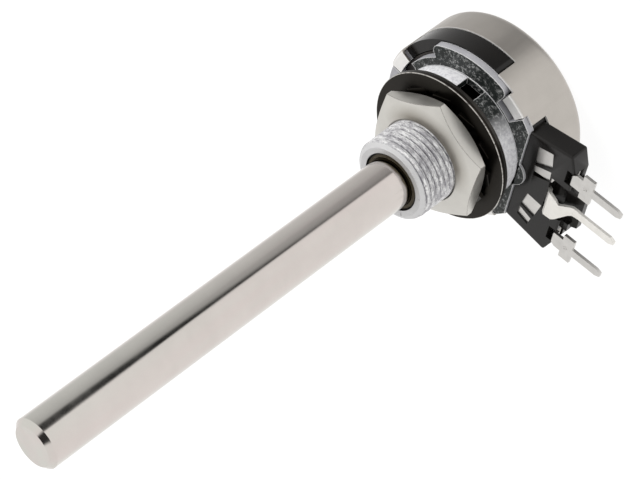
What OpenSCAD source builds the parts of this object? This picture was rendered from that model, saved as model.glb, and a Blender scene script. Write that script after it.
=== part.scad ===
// Rotary potentiometer with a long plain shaft, a threaded bush and three board pins.
// It stands on the flat back of its cover. The shaft's axis is the Z axis, z = 0 is the
// cover's back, and the pins point towards -Y. All sizes are in millimetres.

/* [Shaft] */
// Diameter of the shaft
shaft_d = 6; // [5:0.1:6.4]
// Distance from the casting's panel face to the free end of the shaft
shaft_reach = 62; // [25:0.5:80]
// Chamfer at the free end
shaft_chamfer = 0.6; // [0.2:0.1:1]
// Distance across the two flats that drive the rotor
flats_across = 3.6; // [3:0.1:4.2]
// Diameter of the shaft's rear part between the flats
tail_d = 4.8; // [4.4:0.1:4.9]
// Depth of the groove for the retaining clip
groove_depth = 0.5; // [0.3:0.05:0.7]
// Depth of the grease groove in the bush's mouth
grease_depth = 0.2; // [0.15:0.05:0.4]
// Length of the grease groove
grease_l = 1.1; // [0.8:0.1:1.3]

/* [Casting] */
// Outer diameter of the bush's thread
bush_d = 10; // [9.4:0.1:10.6]
// Diameter of the thread where it engages the nut
pitch_d = 9.51; // [9:0.01:9.6]
// Height of the bush in front of the panel face
bush_h = 9; // [7:0.25:14]
// Chamfer at the end of the thread
bush_chamfer = 0.35; // [0.2:0.05:0.8]
// Diameter of the recess around the shaft at the bush's mouth
mouth_d = 7.1; // [6.8:0.1:7.8]
// Depth of that recess
mouth_depth = 1.4; // [0.5:0.1:3]
// Diameter of the drum behind the panel face
drum_d = 16.4; // [15.8:0.1:16.8]
// Height of the drum in front of the flange
drum_h = 2.7; // [2.5:0.1:5]
// Wall of the drum
drum_wall = 0.9; // [0.7:0.1:1.2]
// Thickness of the drum's front plate
plate_t = 1.2; // [0.8:0.1:1.4]
// Thickness of the flange
flange_t = 0.9; // [0.8:0.05:1.4]
// Distance from the drum to the flange's straight edge at the terminals
flat_margin = 0.15; // [0.05:0.05:0.4]
// Depth of the wide cut-outs in the flange, measured inwards from its rim
relief_depth = 1.55; // [1:0.05:1.9]
// Bevel at the corners of the flange's lobes
lobe_bevel = 0.6; // [0.3:0.1:1]
// Radius of the small lug over the middle terminal
lug_r = 1.8; // [1:0.1:2.2]
// How far the lug reaches past the straight edge
lug_reach = 1.05; // [0.6:0.05:1.3]
// Angle of each slot in the drum's wall
drum_slot_a = 18; // [8:1:26]
// Height of each slot in the drum's wall
drum_slot_h = 2.1; // [1.2:0.1:2.4]

/* [Cover] */
// Outer diameter of the cover
cover_d = 22.2; // [22:0.1:25]
// Sheet thickness of the cover
cover_t = 0.3; // [0.25:0.05:0.6]
// Outside radius of the cover's rear edge
cover_round = 1.4; // [0.8:0.1:2.4]
// Distance from the cover's back to the flange
case_depth = 7.4; // [7.2:0.1:9]
// Gap between the terminal block and the cover's rim behind it
rim_gap = 0.05; // [0.03:0.01:0.3]
// Angle of each folded tab
tab_a = 15.5; // [10:0.5:16]
// Angle of the lower tabs' middle below the X axis
low_tab_at = 32.7; // [31:0.1:35]
// Angle of the upper tabs' middle above the X axis
high_tab_at = 73.5; // [73:0.1:77]
// How far a folded tab reaches inwards from the cover's outside
tab_reach = 1.6; // [1.4:0.1:2.2]
// Gap between a tab and the sides of its notch
tab_gap = 0.14; // [0.05:0.01:0.3]

/* [Nut and washers] */
// Distance across the nut's flats
nut_af = 14; // [13:0.5:15]
// Thickness of the nut
nut_t = 2.6; // [1.8:0.1:3]
// Outer diameter of the flat washer
washer_d = 18.2; // [16:0.1:19]
// Thickness of the flat washer
washer_t = 0.5; // [0.4:0.05:1]
// Outer diameter of the tooth washer
tooth_washer_d = 18.5; // [16.5:0.1:19]
// Sheet thickness of the tooth washer
tooth_washer_t = 0.5; // [0.4:0.05:0.7]
// Diameter at which the teeth start
tooth_root_d = 14.3; // [13.5:0.1:15]
// Number of teeth
teeth = 12; // [8:1:14]
// Width of a tooth
tooth_w = 2.3; // [1.4:0.1:2.4]
// Twist of a tooth out of the washer's plane
tooth_twist = 14; // [6:1:16]

/* [Terminals] */
// Distance between neighbouring pins
pin_pitch = 5.08; // [4.8:0.01:5.2]
// Distance from the shaft's axis to the pins' tips
pin_reach = 21.8; // [20:0.1:26]
// Width of a pin
pin_w = 1; // [0.8:0.1:1.4]
// Length of a pin's tapered tip
pin_taper = 0.6; // [0.3:0.1:0.9]
// Sheet thickness of the terminals
terminal_t = 0.4; // [0.3:0.05:0.5]
// Width of the shoulders above a pin
shoulder_w = 3.5; // [3:0.1:3.9]
// Length of the shoulders
shoulder_l = 1.5; // [1:0.1:2]
// Distance from the shaft's axis to the shoulders' lower edge
shoulder_at = 17.7; // [17.6:0.1:19]
// Width of the neck between block and shoulders
neck_w = 1.9; // [1.4:0.1:2]
// How far the outer pins step forwards of their strips
pin_step = 0.3; // [0.1:0.05:0.4]
// Width of the middle terminal's raised fold
fold_w = 3.2; // [2.4:0.1:3.4]
// Height of the fold's front above the block's front
fold_h = 0.8; // [0.5:0.1:1.2]

/* [Moulding] */
// Thickness of the moulding's front wall over the terminals
front_wall = 0.2; // [0.15:0.05:0.4]
// Thickness of the moulding's ring
ring_wall = 1.15; // [1.1:0.05:1.55]
// How far the ring's shoulder in each wide cut-out stays inside the cover's outside
shoulder_inset = 0.13; // [0.05:0.01:0.3]
// Half width of the terminal block at the flange
block_half_top = 6.9; // [6.7:0.1:7]
// Half width of the terminal block at its widest place
block_half = 7.9; // [7.6:0.1:8.3]
// Distance from the shaft's axis to the block's end
block_end = 15; // [14.9:0.1:15.4]
// Thickness of the terminal block behind its front face
block_t = 2.6; // [2.4:0.1:3.2]
// Length of the wedge between the block's wings
wedge_l = 1.4; // [0.6:0.1:1.8]
// Thickness of the rear shelf that the wafer lies on
shelf_t = 0.8; // [0.5:0.1:1]

/* [Track and rotor] */
// Thickness of the phenolic wafer
wafer_t = 1.1; // [0.8:0.1:1.2]
// Thickness of the printed carbon track
track_t = 0.1; // [0.08:0.01:0.15]
// Distance from the wafer's edge to the middle of the carbon track
track_inset = 1.8; // [1.5:0.1:2.1]
// Width of the carbon track
track_w = 1.6; // [1:0.1:1.8]
// Thickness of the brass collector ring
collector_t = 0.2; // [0.15:0.05:0.3]
// Distance from the shaft to the middle of the collector ring
collector_gap = 1.3; // [1.2:0.05:1.6]
// Width of the collector ring
collector_w = 1.2; // [0.8:0.1:1.3]
// Gap between the rotor's rim and the moulding
rotor_gap = 1; // [0.6:0.1:1.6]
// Thickness of the rotor's disc
rotor_t = 1.7; // [1.2:0.1:1.9]
// Room for the wiper between the rotor's front face and the wafer
wiper_room = 1.4; // [1.2:0.05:1.7]
// Diameter of the rotor's hub
hub_d = 6.8; // [6.4:0.1:7]
// Height of the rotor's hub in front of its disc
hub_step = 0.6; // [0.3:0.1:0.8]
// Gap between the shaft's riveted tail and the cover
tail_room = 1.1; // [0.4:0.1:1.2]
// Thickness of the wiper's spring sheet
wiper_t = 0.2; // [0.15:0.05:0.25]
// Diameter of a rivet's shank
rivet_d = 0.9; // [0.7:0.05:1]
// Turning range of the shaft
travel_a = 300; // [270:5:310]

/* [Fits] */
// Radial play of the shaft in the bush
shaft_play = 0.03; // [0.01:0.01:0.08]
// Radial gap between the thread and the nut
thread_gap = 0.02; // [0.01:0.01:0.05]
// Radial gap between the thread and the washers
washer_gap = 0.15; // [0.1:0.05:0.3]
// Gap between the flange's rim and the cover's skirt
flange_gap = 0.05; // [0.05:0.01:0.5]
// Gap between the moulding and the cover's skirt
ring_gap = 0.05; // [0.02:0.01:0.1]
// Gap between the terminal block's root and the sides of the cover's notch for it
notch_room = 0.45; // [0.2:0.05:0.8]
// Gap around the wafer in the moulding
wafer_gap = 0.1; // [0.05:0.01:0.2]
// Gap between the wiper's fingers and what they slide on
wiper_gap = 0.05; // [0.03:0.01:0.1]

/* [Hidden] */
$fn = 72;
cut = 0.5;

// Heights along the axis
flange_front = case_depth + flange_t;
seat_z = flange_front + drum_h;
plate_rear = seat_z - plate_t;
bush_end = seat_z + bush_h;
shaft_end = seat_z + shaft_reach;
grease_end = bush_end + 0.05;
wafer_rear = case_depth - wafer_t;
strip_front = case_depth + terminal_t;
block_front = strip_front + front_wall;
block_rear = block_front - block_t;
rim_h = block_rear - rim_gap;
ledge_z = flange_front - cover_t;
washer_front = seat_z + washer_t;
tooth_rise = tooth_w*sin(tooth_twist) + tooth_washer_t*cos(tooth_twist);
nut_rear = washer_front + max(tooth_washer_t, tooth_rise);
nut_front = nut_rear + nut_t;

// Radii
shaft_r = shaft_d/2;
bush_r = bush_d/2;
drum_r = drum_d/2;
flange_flat = drum_r + flat_margin;
cavity_r = drum_r - drum_wall;
cover_r = cover_d/2;
cover_in = cover_r - cover_t;
flange_r = cover_in - flange_gap;
relief_r = flange_r - relief_depth;
ring_r = cover_in - ring_gap;
ring_in = ring_r - ring_wall;
shoulder_r = cover_r - shoulder_inset;
wafer_r = ring_in - wafer_gap;
tab_in = cover_r - tab_reach;
tab_hole_r = drum_r + 0.25;
nut_r = nut_af/2/cos(30);
rotor_r = ring_in - rotor_gap;
track_d = 2*(wafer_r - track_inset);
collector_d = shaft_d + 2*collector_gap;
hub_r = hub_d/2;

// Angles: the object is the same on both sides of the YZ plane
notch_a = tab_a + 2*atan(tab_gap/cover_in);
low_tab = -low_tab_at;
high_tab = high_tab_at;
lobe_from = low_tab + notch_a/2;
lobe_to = 37;
relief_to = high_tab - notch_a/2 + 0.6;
rim_cut_from = -12;
tab_bend = cover_t + 0.1;
cover_in_round = cover_round - cover_t;
block_cut_half = asin((block_half_top + notch_room)/cover_in);
skirt_front = case_depth + 0.2;

// The clip, the thrust washer and the dished washer inside the drum
thrust_t = 0.3;
clip_t = 0.4;
dish_h = 0.45;
dish_t = 0.2;
stack_gap = 0.05;
thrust_rear = plate_rear - thrust_t;
dish_front = thrust_rear - stack_gap;
clip_front = dish_front - dish_h;
clip_rear = clip_front - clip_t;
groove_r = shaft_r - groove_depth;
thrust_r = 4.9;
ring_hole_r = shaft_r + 0.08;

// Rotor, its stop and the shaft's tail
rotor_front = wafer_rear - wiper_room;
rotor_rear = rotor_front - rotor_t;
hub_front = rotor_front + hub_step;
head_t = 0.5;
head_lip = 0.3;
hub_rear = cover_t + tail_room + head_t;
lug_a = 20;
stop_play = 1;
stop_a = 360 - travel_a - lug_a - 2*stop_play;
stop_gap = 0.15;

// Rivets and the block's inside
rivet_y = -flange_flat - 0.85;
rivet_head_t = 0.3;
tongue_end = flange_flat + 1.75;
tongue_half = 5.6;
strip_top = flange_flat + 0.1;
strip_half = 1.2;
strip_end = 13.3;
window_depth = 0.4;
recess_top = 12.4;
recess_half = 2.1;
recess_depth = 0.6;
pad_half = 0.75;

// A block between two radii, two angles and two heights
module sector(r0, r1, a0, a1, z0, z1) {
    rotate([0, 0, a0]) rotate_extrude(angle = a1 - a0)
        translate([r0, z0]) square([r1 - r0, z1 - z0]);
}

// A round tube
module tube(r0, r1, z0, z1) {
    difference() {
        translate([0, 0, z0]) cylinder(r = r1, h = z1 - z0);
        translate([0, 0, z0 - cut]) cylinder(r = r0, h = z1 - z0 + 2*cut);
    }
}

// Its children, and the same mirrored to the other side of the YZ plane
module both_sides() {
    children();
    mirror([1, 0, 0]) children();
}

// Ground steel rod with a chamfered end, a clip groove, two driving flats and a riveted tail
module shaft() {
    color("#cbc3bf") union() {
        rotate_extrude() polygon([
            [0, hub_front], [shaft_r, hub_front],
            [shaft_r, clip_rear], [groove_r, clip_rear], [groove_r, clip_front], [shaft_r, clip_front],
            [shaft_r, grease_end - grease_l], [shaft_r - grease_depth, grease_end - grease_l],
            [shaft_r - grease_depth, grease_end], [shaft_r, grease_end],
            [shaft_r, shaft_end - shaft_chamfer], [shaft_r - shaft_chamfer, shaft_end], [0, shaft_end]]);
        tail(hub_rear - head_t/2, hub_front + head_t/2);
        translate([0, 0, hub_rear - head_t]) cylinder(r = tail_d/2 + head_lip, h = head_t);
    }
}

// The shaft's tail: round, with two flats
module tail(z0, z1) {
    intersection() {
        translate([0, 0, z0]) cylinder(d = tail_d, h = z1 - z0);
        translate([-flats_across/2, -tail_d, z0 - cut]) cube([flats_across, 2*tail_d, z1 - z0 + 2*cut]);
    }
}

// What bevels one corner of a flange lobe; way is 1 where the lobe lies on the side of larger angles
module bevel_cutter(a, way, z0) {
    rotate([0, 0, a]) translate([flange_r, 0, z0]) rotate([0, 0, -45*way])
        translate([-lobe_bevel*sin(45), -1.5, 0]) cube([3, 3, flange_t + cut]);
}

// The flange: a disc with a straight edge at the terminals, wide reliefs and tab notches
module flange() {
    difference() {
        translate([0, 0, case_depth]) cylinder(r = flange_r, h = flange_t);
        translate([-flange_r - cut, -flange_flat - flange_r, case_depth - cut])
            cube([2*(flange_r + cut), flange_r, flange_t + 2*cut]);
        both_sides() {
            sector(relief_r, flange_r + cut, lobe_to, relief_to, case_depth - cut, flange_front + cut);
            bevel_cutter(lobe_to, -1, case_depth - cut/2);
            bevel_cutter(lobe_from, 1, ledge_z + 0.1);
        }
    }
}

// A notch in the flange for one tab: a ledge that the tab is folded on, and a hole inside it
module tab_notch(a) {
    sector(tab_in - 0.1, flange_r + 2*cut, a - notch_a/2, a + notch_a/2, ledge_z, flange_front + 2*cut);
    sector(tab_hole_r, tab_in + 0.1, a - notch_a/2, a + notch_a/2, case_depth - 2*cut, flange_front + 3*cut);
}

// A slot through the drum's wall in front of the flange
module drum_slot() {
    sector(cavity_r - 0.4, drum_r + cut, -12, -12 + drum_slot_a, flange_front + 0.1,
           flange_front + 0.1 + drum_slot_h);
}

// The bush's outside: full thread, the stretch engaged by the nut, full thread, chamfer
module bush_blank() {
    rotate_extrude() polygon([
        [0, seat_z - cut], [bush_r, seat_z - cut], [bush_r, nut_rear], [pitch_d/2, nut_rear],
        [pitch_d/2, nut_front + 0.1], [bush_r, nut_front + 0.1], [bush_r, bush_end - bush_chamfer],
        [bush_r - bush_chamfer, bush_end], [0, bush_end]]);
}

// Zinc die casting: flange, drum with a front plate, and the bush
module bush_plate() {
    color("#a9a8a6") difference() {
        union() {
            flange();
            translate([0, 0, case_depth]) cylinder(r = drum_r, h = flange_t + drum_h);
            bush_blank();
            translate([0, -flange_flat - lug_reach + lug_r, block_front])
                cylinder(r = lug_r, h = flange_front - block_front);
        }
        translate([0, 0, case_depth - cut]) cylinder(r = cavity_r, h = plate_rear - case_depth + cut);
        translate([0, 0, plate_rear - cut]) cylinder(r = shaft_r + shaft_play, h = bush_end - plate_rear + 2*cut);
        translate([0, 0, bush_end - mouth_depth]) cylinder(d = mouth_d, h = mouth_depth + cut);
        both_sides() drum_slot();
        both_sides() for (a = [low_tab, high_tab]) tab_notch(a);
    }
}

// Nickel-plated hexagon nut with both faces chamfered and its thread countersunk
module hex_nut() {
    slope = tan(30);
    rear_r = nut_af/2 - 0.1;
    front_r = nut_af/2 - 1;
    bore_r = pitch_d/2 + thread_gap;
    sink = 0.3;
    color("#cfcac2") difference() {
        intersection() {
            translate([0, 0, nut_rear]) cylinder(r = nut_r, h = nut_t, $fn = 6);
            rotate_extrude() polygon([
                [0, nut_rear], [rear_r, nut_rear], [nut_r + 0.01, nut_rear + (nut_r + 0.01 - rear_r)*slope],
                [nut_r + 0.01, nut_front - (nut_r + 0.01 - front_r)*slope], [front_r, nut_front], [0, nut_front]]);
        }
        translate([0, 0, nut_rear - cut]) cylinder(r = bore_r, h = nut_t + 2*cut);
        translate([0, 0, nut_front - sink]) cylinder(r1 = bore_r, r2 = bore_r + sink, h = sink);
    }
}

// Blackened spring-steel washer with twisted inner teeth
module tooth_washer() {
    tip_r = bush_r + washer_gap;
    root_r = tooth_root_d/2;
    color("#2b2a29") union() {
        tube(root_r, tooth_washer_d/2, washer_front, washer_front + tooth_washer_t);
        difference() {
            for (i = [0:teeth - 1]) rotate([0, 0, 360/teeth*i + 8.5])
                translate([(tip_r + root_r)/2, 0, washer_front + tooth_rise/2]) rotate([tooth_twist, 0, 0])
                    cube([root_r - tip_r + 0.6, tooth_w, tooth_washer_t], center = true);
            translate([0, 0, washer_front - cut]) cylinder(r = tip_r, h = tooth_rise + 2*cut);
        }
    }
}

// Plain steel washer under the tooth washer
module flat_washer() {
    color("#6d6b69") tube(bush_r + washer_gap, washer_d/2, seat_z, washer_front);
}

// Half of the cover's wall section turned to points: straight skirt, round rear edge, flat back
function round_edge(r, corner, step) =
    [for (a = [0:step:90]) [r - corner + corner*sin(a), corner - corner*cos(a)]];

// The cover's wall section with the tabs' fold at its front end
function wall_section() = concat(
    [[0, 0]], round_edge(cover_r, cover_round, 15),
    [for (t = [0:15:90]) [cover_r - tab_bend + tab_bend*cos(t), flange_front - tab_bend + tab_bend*sin(t)]],
    [[tab_in, flange_front], [tab_in, ledge_z]],
    [for (t = [90:-45:0]) [cover_r - tab_bend + (tab_bend - cover_t)*cos(t),
                           flange_front - tab_bend + (tab_bend - cover_t)*sin(t)]],
    [for (a = [90:-15:0]) [cover_in - cover_in_round + cover_in_round*sin(a),
                           cover_t + cover_in_round - cover_in_round*cos(a)]],
    [[0, cover_t]]);

// What is cut from the cover's front between two angles, down to one height
module skirt_cutter(a0, a1, z0) {
    sector(tab_in - cut, cover_r + cut, a0, a1, z0, flange_front + cut);
}

// Deep-drawn steel cover: flat back, skirt with wide cut-outs, and four folded tabs
module cover() {
    color("#bdb8b2") difference() {
        rotate_extrude() polygon(wall_section());
        skirt_cutter(270 - block_cut_half, 270 + block_cut_half, rim_h);
        both_sides() {
            skirt_cutter(rim_cut_from, high_tab - tab_a/2, rim_h);
            skirt_cutter(-90, low_tab - tab_a/2, skirt_front);
            skirt_cutter(low_tab + tab_a/2, 0, skirt_front);
            skirt_cutter(high_tab + tab_a/2, 91, skirt_front);
        }
    }
}

// Outline of the terminal block seen from the front
module block_outline() {
    polygon([
        [-block_half_top, -flange_flat + 1], [-block_half_top, -flange_flat], [-block_half, 0.9 - block_end],
        [-block_half + 2.2, -block_end], [block_half - 2.2, -block_end],
        [block_half, 0.9 - block_end], [block_half_top, -flange_flat], [block_half_top, -flange_flat + 1]]);
}

// Slanted windows in the block's front wall, two over each outer strip
module windows() {
    polygon([[5.75, -9.95], [6.18, -11.71], [4.33, -12.09], [3.41, -10.16]]);
    polygon([[2.89, -10.16], [3.55, -12.1], [2.22, -12.2], [1.56, -10.3]]);
    polygon([[-1.85, -10.3], [-2.05, -12.15], [-4.2, -11.66], [-3.82, -9.92]]);
    polygon([[-4.39, -9.85], [-4.96, -11.42], [-5.99, -11.18], [-5.55, -9.8]]);
}

// Shoulder of the moulding's ring that fills the cover's wide cut-out on one side
module ring_shoulder() {
    side = atan(tab_gap/cover_in);
    sector(ring_r - 0.4, shoulder_r, rim_cut_from + side, high_tab - tab_a/2 - side, block_rear, case_depth);
}

// Black moulding: the ring inside the cover and the terminal block in one piece
module moulded_base() {
    color("#3a3735") difference() {
        union() {
            rotate([0, 0, 90]) tube(ring_in, ring_r, cover_t, case_depth);
            both_sides() ring_shoulder();
            sector(ring_in - 0.6, ring_in + 0.1, 0, 360, wafer_rear - shelf_t, wafer_rear);
            sector(rotor_r + stop_gap, ring_in + 0.1, -90 - stop_a/2, -90 + stop_a/2,
                   rotor_rear - 0.2, rotor_front + 0.1);
            difference() {
                translate([0, 0, block_rear]) linear_extrude(block_t) block_outline();
                translate([0, 0, block_rear - cut]) cylinder(r = ring_in + 0.1, h = case_depth - block_rear + cut);
                translate([-flange_r, -flange_flat - 0.05, case_depth]) cube([2*flange_r, flange_r, block_t]);
            }
            wedge();
            both_sides() wedge_cheek();
        }
        // The cover's rounded rear corner
        difference() {
            translate([0, 0, cover_t - cut]) cylinder(r = ring_r + cut, h = cut + cover_round);
            translate([0, 0, cover_t - cut]) cylinder(r = ring_r - cover_round, h = 2*cut + cover_round);
            translate([0, 0, cover_t]) cylinder(r1 = ring_r - cover_round + 0.3, r2 = ring_r + 0.3, h = cover_round);
        }
        // Room for the wafer's tongue and the rivets' heads
        translate([-tongue_half - wafer_gap, -tongue_end - wafer_gap, wafer_rear - track_t - rivet_head_t - 0.1])
            cube([2*(tongue_half + wafer_gap), tongue_end, case_depth - wafer_rear + track_t + rivet_head_t + 0.1]);
        // The strips lie in the block
        outer_strips_room();
        translate([-strip_half, -recess_top - cut, case_depth])
            cube([2*strip_half, recess_top + cut - strip_top + cut, terminal_t]);
        // Windows that show the outer strips
        translate([0, 0, case_depth - window_depth]) linear_extrude(block_t) windows();
        middle_recess();
        both_sides() pin_notch();
    }
}

// The outer strips' own shapes, cut from the block
module outer_strips_room() {
    translate([0, 0, case_depth]) linear_extrude(terminal_t) both_sides_2d() strip_outline();
}

module both_sides_2d() {
    children();
    mirror([1, 0]) children();
}

// Open recess around the middle terminal's fold
module middle_recess() {
    translate([-recess_half, -block_end - cut, case_depth - recess_depth])
        cube([2*recess_half, block_end + cut - recess_top, block_t]);
}

// Notch in the block's front beside each outer pin's neck
module pin_notch() {
    translate([pin_pitch - 1.25, -block_end - cut, case_depth - 0.7]) cube([1.9, 1 + cut, block_t]);
}

// Sloping wedge between the wings, behind the middle terminal
module wedge() {
    low = block_rear + 0.7;
    translate([-3.5, 0, 0]) rotate([90, 0, 90]) linear_extrude(7) polygon([
        [-block_end + 0.5, block_rear], [-block_end - wedge_l, block_rear],
        [-block_end - wedge_l, low], [-block_end + 0.5, case_depth - 0.4]]);
}

// Small cheek on each side of the wedge
module wedge_cheek() {
    translate([2.6, -block_end - 0.8, block_rear]) cube([1.1, 1.3, block_t - 0.75]);
}

// Outline of one outer strip inside the block, down to its neck
module strip_outline() {
    polygon([
        [1.7, -strip_top], [5.9, -strip_top], [6.3, -12.5], [pin_pitch + neck_w/2, -13.3],
        [pin_pitch + neck_w/2, -block_end - 0.3], [pin_pitch - neck_w/2, -block_end - 0.3],
        [pin_pitch - neck_w/2, -13.3], [2.1, -12.5]]);
}

// Outline of one pin with its neck and shoulders; y0 is where the neck starts
module pin_outline(y0) {
    shoulder_top = -shoulder_at + shoulder_l;
    half = pin_w/2;
    tip = half*0.45;
    polygon([
        [-neck_w/2, y0], [neck_w/2, y0], [neck_w/2, shoulder_top], [shoulder_w/2, shoulder_top],
        [shoulder_w/2, -shoulder_at], [half, -shoulder_at], [half, -pin_reach + pin_taper],
        [tip, -pin_reach], [-tip, -pin_reach], [-half, -pin_reach + pin_taper],
        [-half, -shoulder_at], [-shoulder_w/2, -shoulder_at], [-shoulder_w/2, shoulder_top],
        [-neck_w/2, shoulder_top]]);
}

// The short slope by which a neck steps from one height to another
module neck_slope(z_from, z_to, y_from, y_to) {
    translate([-neck_w/2, 0, 0]) rotate([90, 0, 90]) linear_extrude(neck_w) polygon([
        [y_from, z_from], [y_from, z_from + terminal_t], [y_to, z_to + terminal_t], [y_to, z_to]]);
}

// Tinned brass terminal of one end of the track, right-hand side
module outer_terminal() {
    step_from = -block_end - 0.3;
    step_to = step_from - 0.5;
    difference() {
        union() {
            translate([0, 0, case_depth]) linear_extrude(terminal_t) strip_outline();
            translate([pin_pitch, 0, 0]) neck_slope(case_depth, case_depth + pin_step, step_from, step_to);
            translate([pin_pitch, 0, case_depth + pin_step]) linear_extrude(terminal_t) pin_outline(step_to);
        }
        translate([rivet_x(), rivet_y, case_depth - cut]) cylinder(d = rivet_d, h = terminal_t + 2*cut);
    }
}

function rivet_x() = 4.2;

module terminal_right() { color("#c9c9c7") outer_terminal(); }
module terminal_left() { color("#c9c9c7") mirror([1, 0, 0]) outer_terminal(); }

// Terminal of the wiper: it rises out of the block's front, lies flat, and bends back to its pin
module terminal_centre() {
    rise_from = -recess_top - 0.35;
    flat_from = rise_from - 0.45;
    flat_to = flat_from - 1.6;
    drop_to = flat_to - 1;
    top = block_front + fold_h;
    color("#dcdad6") difference() {
        union() {
            translate([-strip_half, rise_from, case_depth])
                cube([2*strip_half, -strip_top - rise_from, terminal_t]);
            translate([-strip_half, 0, 0]) rotate([90, 0, 90]) linear_extrude(2*strip_half) polygon([
                [rise_from + 0.3, case_depth], [rise_from, case_depth], [flat_from, top - terminal_t],
                [flat_from, top], [flat_from + 0.25, top], [rise_from + 0.3, strip_front]]);
            translate([-fold_w/2, flat_to, top - terminal_t]) cube([fold_w, flat_from - flat_to, terminal_t]);
            neck_slope(top - terminal_t, case_depth - 0.3, flat_to, drop_to);
            translate([0, 0, case_depth - 0.3]) linear_extrude(terminal_t) pin_outline_plain(drop_to);
        }
        translate([0, rivet_y, case_depth - cut]) cylinder(d = rivet_d, h = terminal_t + 2*cut);
    }
}

// Outline of the middle pin, which has no shoulders
module pin_outline_plain(y0) {
    half = pin_w/2;
    tip = half*0.45;
    polygon([
        [-neck_w/2, y0], [neck_w/2, y0], [neck_w/2, y0 - 0.8], [half, y0 - 1.2],
        [half, -pin_reach + pin_taper], [tip, -pin_reach], [-tip, -pin_reach],
        [-half, -pin_reach + pin_taper], [-half, y0 - 1.2], [-neck_w/2, y0 - 0.8]]);
}

// Rivet through wafer and strip, with its head at the rear
module rivet(x, lift) {
    translate([x, rivet_y, wafer_rear - lift]) cylinder(d = rivet_d, h = strip_front - wafer_rear + lift);
    translate([x, rivet_y, wafer_rear - lift - rivet_head_t]) cylinder(d = rivet_d + 0.6, h = rivet_head_t);
}

module rivet_right() { color("#b9a36a") rivet(rivet_x(), track_t); }
module rivet_left() { color("#b9a36a") rivet(-rivet_x(), track_t); }
module rivet_centre() { color("#b9a36a") rivet(0, collector_t); }

// Phenolic wafer with a tongue that carries the terminals
module track_wafer() {
    color("#7a4a26") difference() {
        translate([0, 0, wafer_rear]) linear_extrude(wafer_t) union() {
            circle(r = wafer_r);
            translate([-tongue_half, -tongue_end]) square([2*tongue_half, tongue_end]);
        }
        translate([0, 0, wafer_rear - cut]) cylinder(r = shaft_r + 0.5, h = wafer_t + 2*cut);
        for (x = [-rivet_x(), 0, rivet_x()]) translate([x, rivet_y, wafer_rear - cut])
            cylinder(d = rivet_d, h = wafer_t + 2*cut);
    }
}

// Printed resistance track on the wafer's rear face, with a pad at each end
module carbon_track() {
    end_a = asin(2*rivet_x()/track_d) - 3;
    far = 2*track_d;
    color("#1d1c1c") translate([0, 0, wafer_rear - track_t]) linear_extrude(track_t) difference() {
        union() {
            difference() {
                circle(d = track_d + track_w);
                circle(d = track_d - track_w);
                polygon([[0, 0], [-far*sin(end_a), -far*cos(end_a)], [far*sin(end_a), -far*cos(end_a)]]);
            }
            for (x = [-rivet_x(), rivet_x()]) translate([x - pad_half, rivet_y - 0.7])
                square([2*pad_half, 0.7 - rivet_y - track_d/2*cos(end_a)]);
        }
        for (x = [-rivet_x(), rivet_x()]) translate([x, rivet_y]) circle(d = rivet_d);
    }
}

// Brass ring that the wiper's inner finger slides on, with a tail to the middle rivet
module collector_ring() {
    color("#c8a24c") difference() {
        union() {
            translate([0, 0, wafer_rear - collector_t]) cylinder(d = collector_d + collector_w, h = collector_t);
            translate([-pad_half, rivet_y - 0.7, wafer_rear - collector_t])
                cube([2*pad_half, 0.7 - rivet_y, collector_t]);
        }
        translate([0, 0, wafer_rear - collector_t - cut]) cylinder(d = collector_d - collector_w, h = collector_t + 2*cut);
        translate([0, rivet_y, wafer_rear - collector_t - cut]) cylinder(d = rivet_d, h = collector_t + 2*cut);
    }
}

// Moulded rotor: disc, hub on the shaft's tail, stop lug, and two stakes for the wiper
module rotor() {
    color("#e4ddcb") difference() {
        union() {
            difference() {
                translate([0, 0, rotor_rear]) cylinder(r = ring_in - stop_gap, h = rotor_t);
                sector(rotor_r, ring_in + cut, 90 + lug_a/2, 450 - lug_a/2, rotor_rear - cut, rotor_front + cut);
            }
            translate([0, 0, hub_rear]) cylinder(r = hub_r, h = hub_front - hub_rear);
            for (p = stakes()) translate([p[0], p[1], rotor_front]) cylinder(r = 0.4, h = wiper_t + 0.2);
        }
        tail(hub_rear - cut, hub_front + cut);
    }
}

function stakes() = [for (f = [0.3, 0.75]) [1.4, (collector_d + f*(track_d - collector_d))/2]];

// One finger of the wiper: it slopes up from the base to its contact
module finger(y, top) {
    base = rotor_front;
    tip = top - wiper_gap;
    translate([0, y + 0.5, 0]) rotate([90, 0, 0]) linear_extrude(1) polygon([
        [0.5, base], [0.5, base + wiper_t], [-1.8, tip], [-2.6, tip], [-2.8, tip - 0.3], [-1.9, tip - 0.3]]);
}

// Phosphor-bronze wiper with one finger on the track and one on the collector
module wiper_spring() {
    inner_y = collector_d/2;
    outer_y = track_d/2;
    color("#b98345") difference() {
        union() {
            translate([0.4, inner_y - 0.5, rotor_front]) cube([2, outer_y - inner_y + 1, wiper_t]);
            finger(inner_y, wafer_rear - collector_t);
            finger(outer_y, wafer_rear - track_t);
        }
        for (p = stakes()) translate([p[0], p[1], rotor_front - cut]) cylinder(r = 0.4, h = wiper_t + 2*cut);
    }
}

// Open ring in the shaft's groove
module retaining_clip() {
    color("#55524f") difference() {
        tube(groove_r, shaft_r + 1.5, clip_rear, clip_front);
        translate([-groove_r*0.8, 0, clip_rear - cut]) cube([groove_r*1.6, 2*shaft_d, clip_t + 2*cut]);
    }
}

// Flat ring against the inside of the drum's front plate
module thrust_washer() {
    color("#8f8c88") tube(ring_hole_r, thrust_r, thrust_rear, plate_rear);
}

// Dished spring ring between the clip and the thrust washer
module dished_washer() {
    color("#77736d") rotate_extrude() polygon([
        [ring_hole_r, clip_front], [ring_hole_r + 0.3, clip_front], [thrust_r, dish_front - dish_t],
        [thrust_r, dish_front], [thrust_r - 0.3, dish_front], [ring_hole_r, clip_front + dish_t]]);
}

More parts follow.
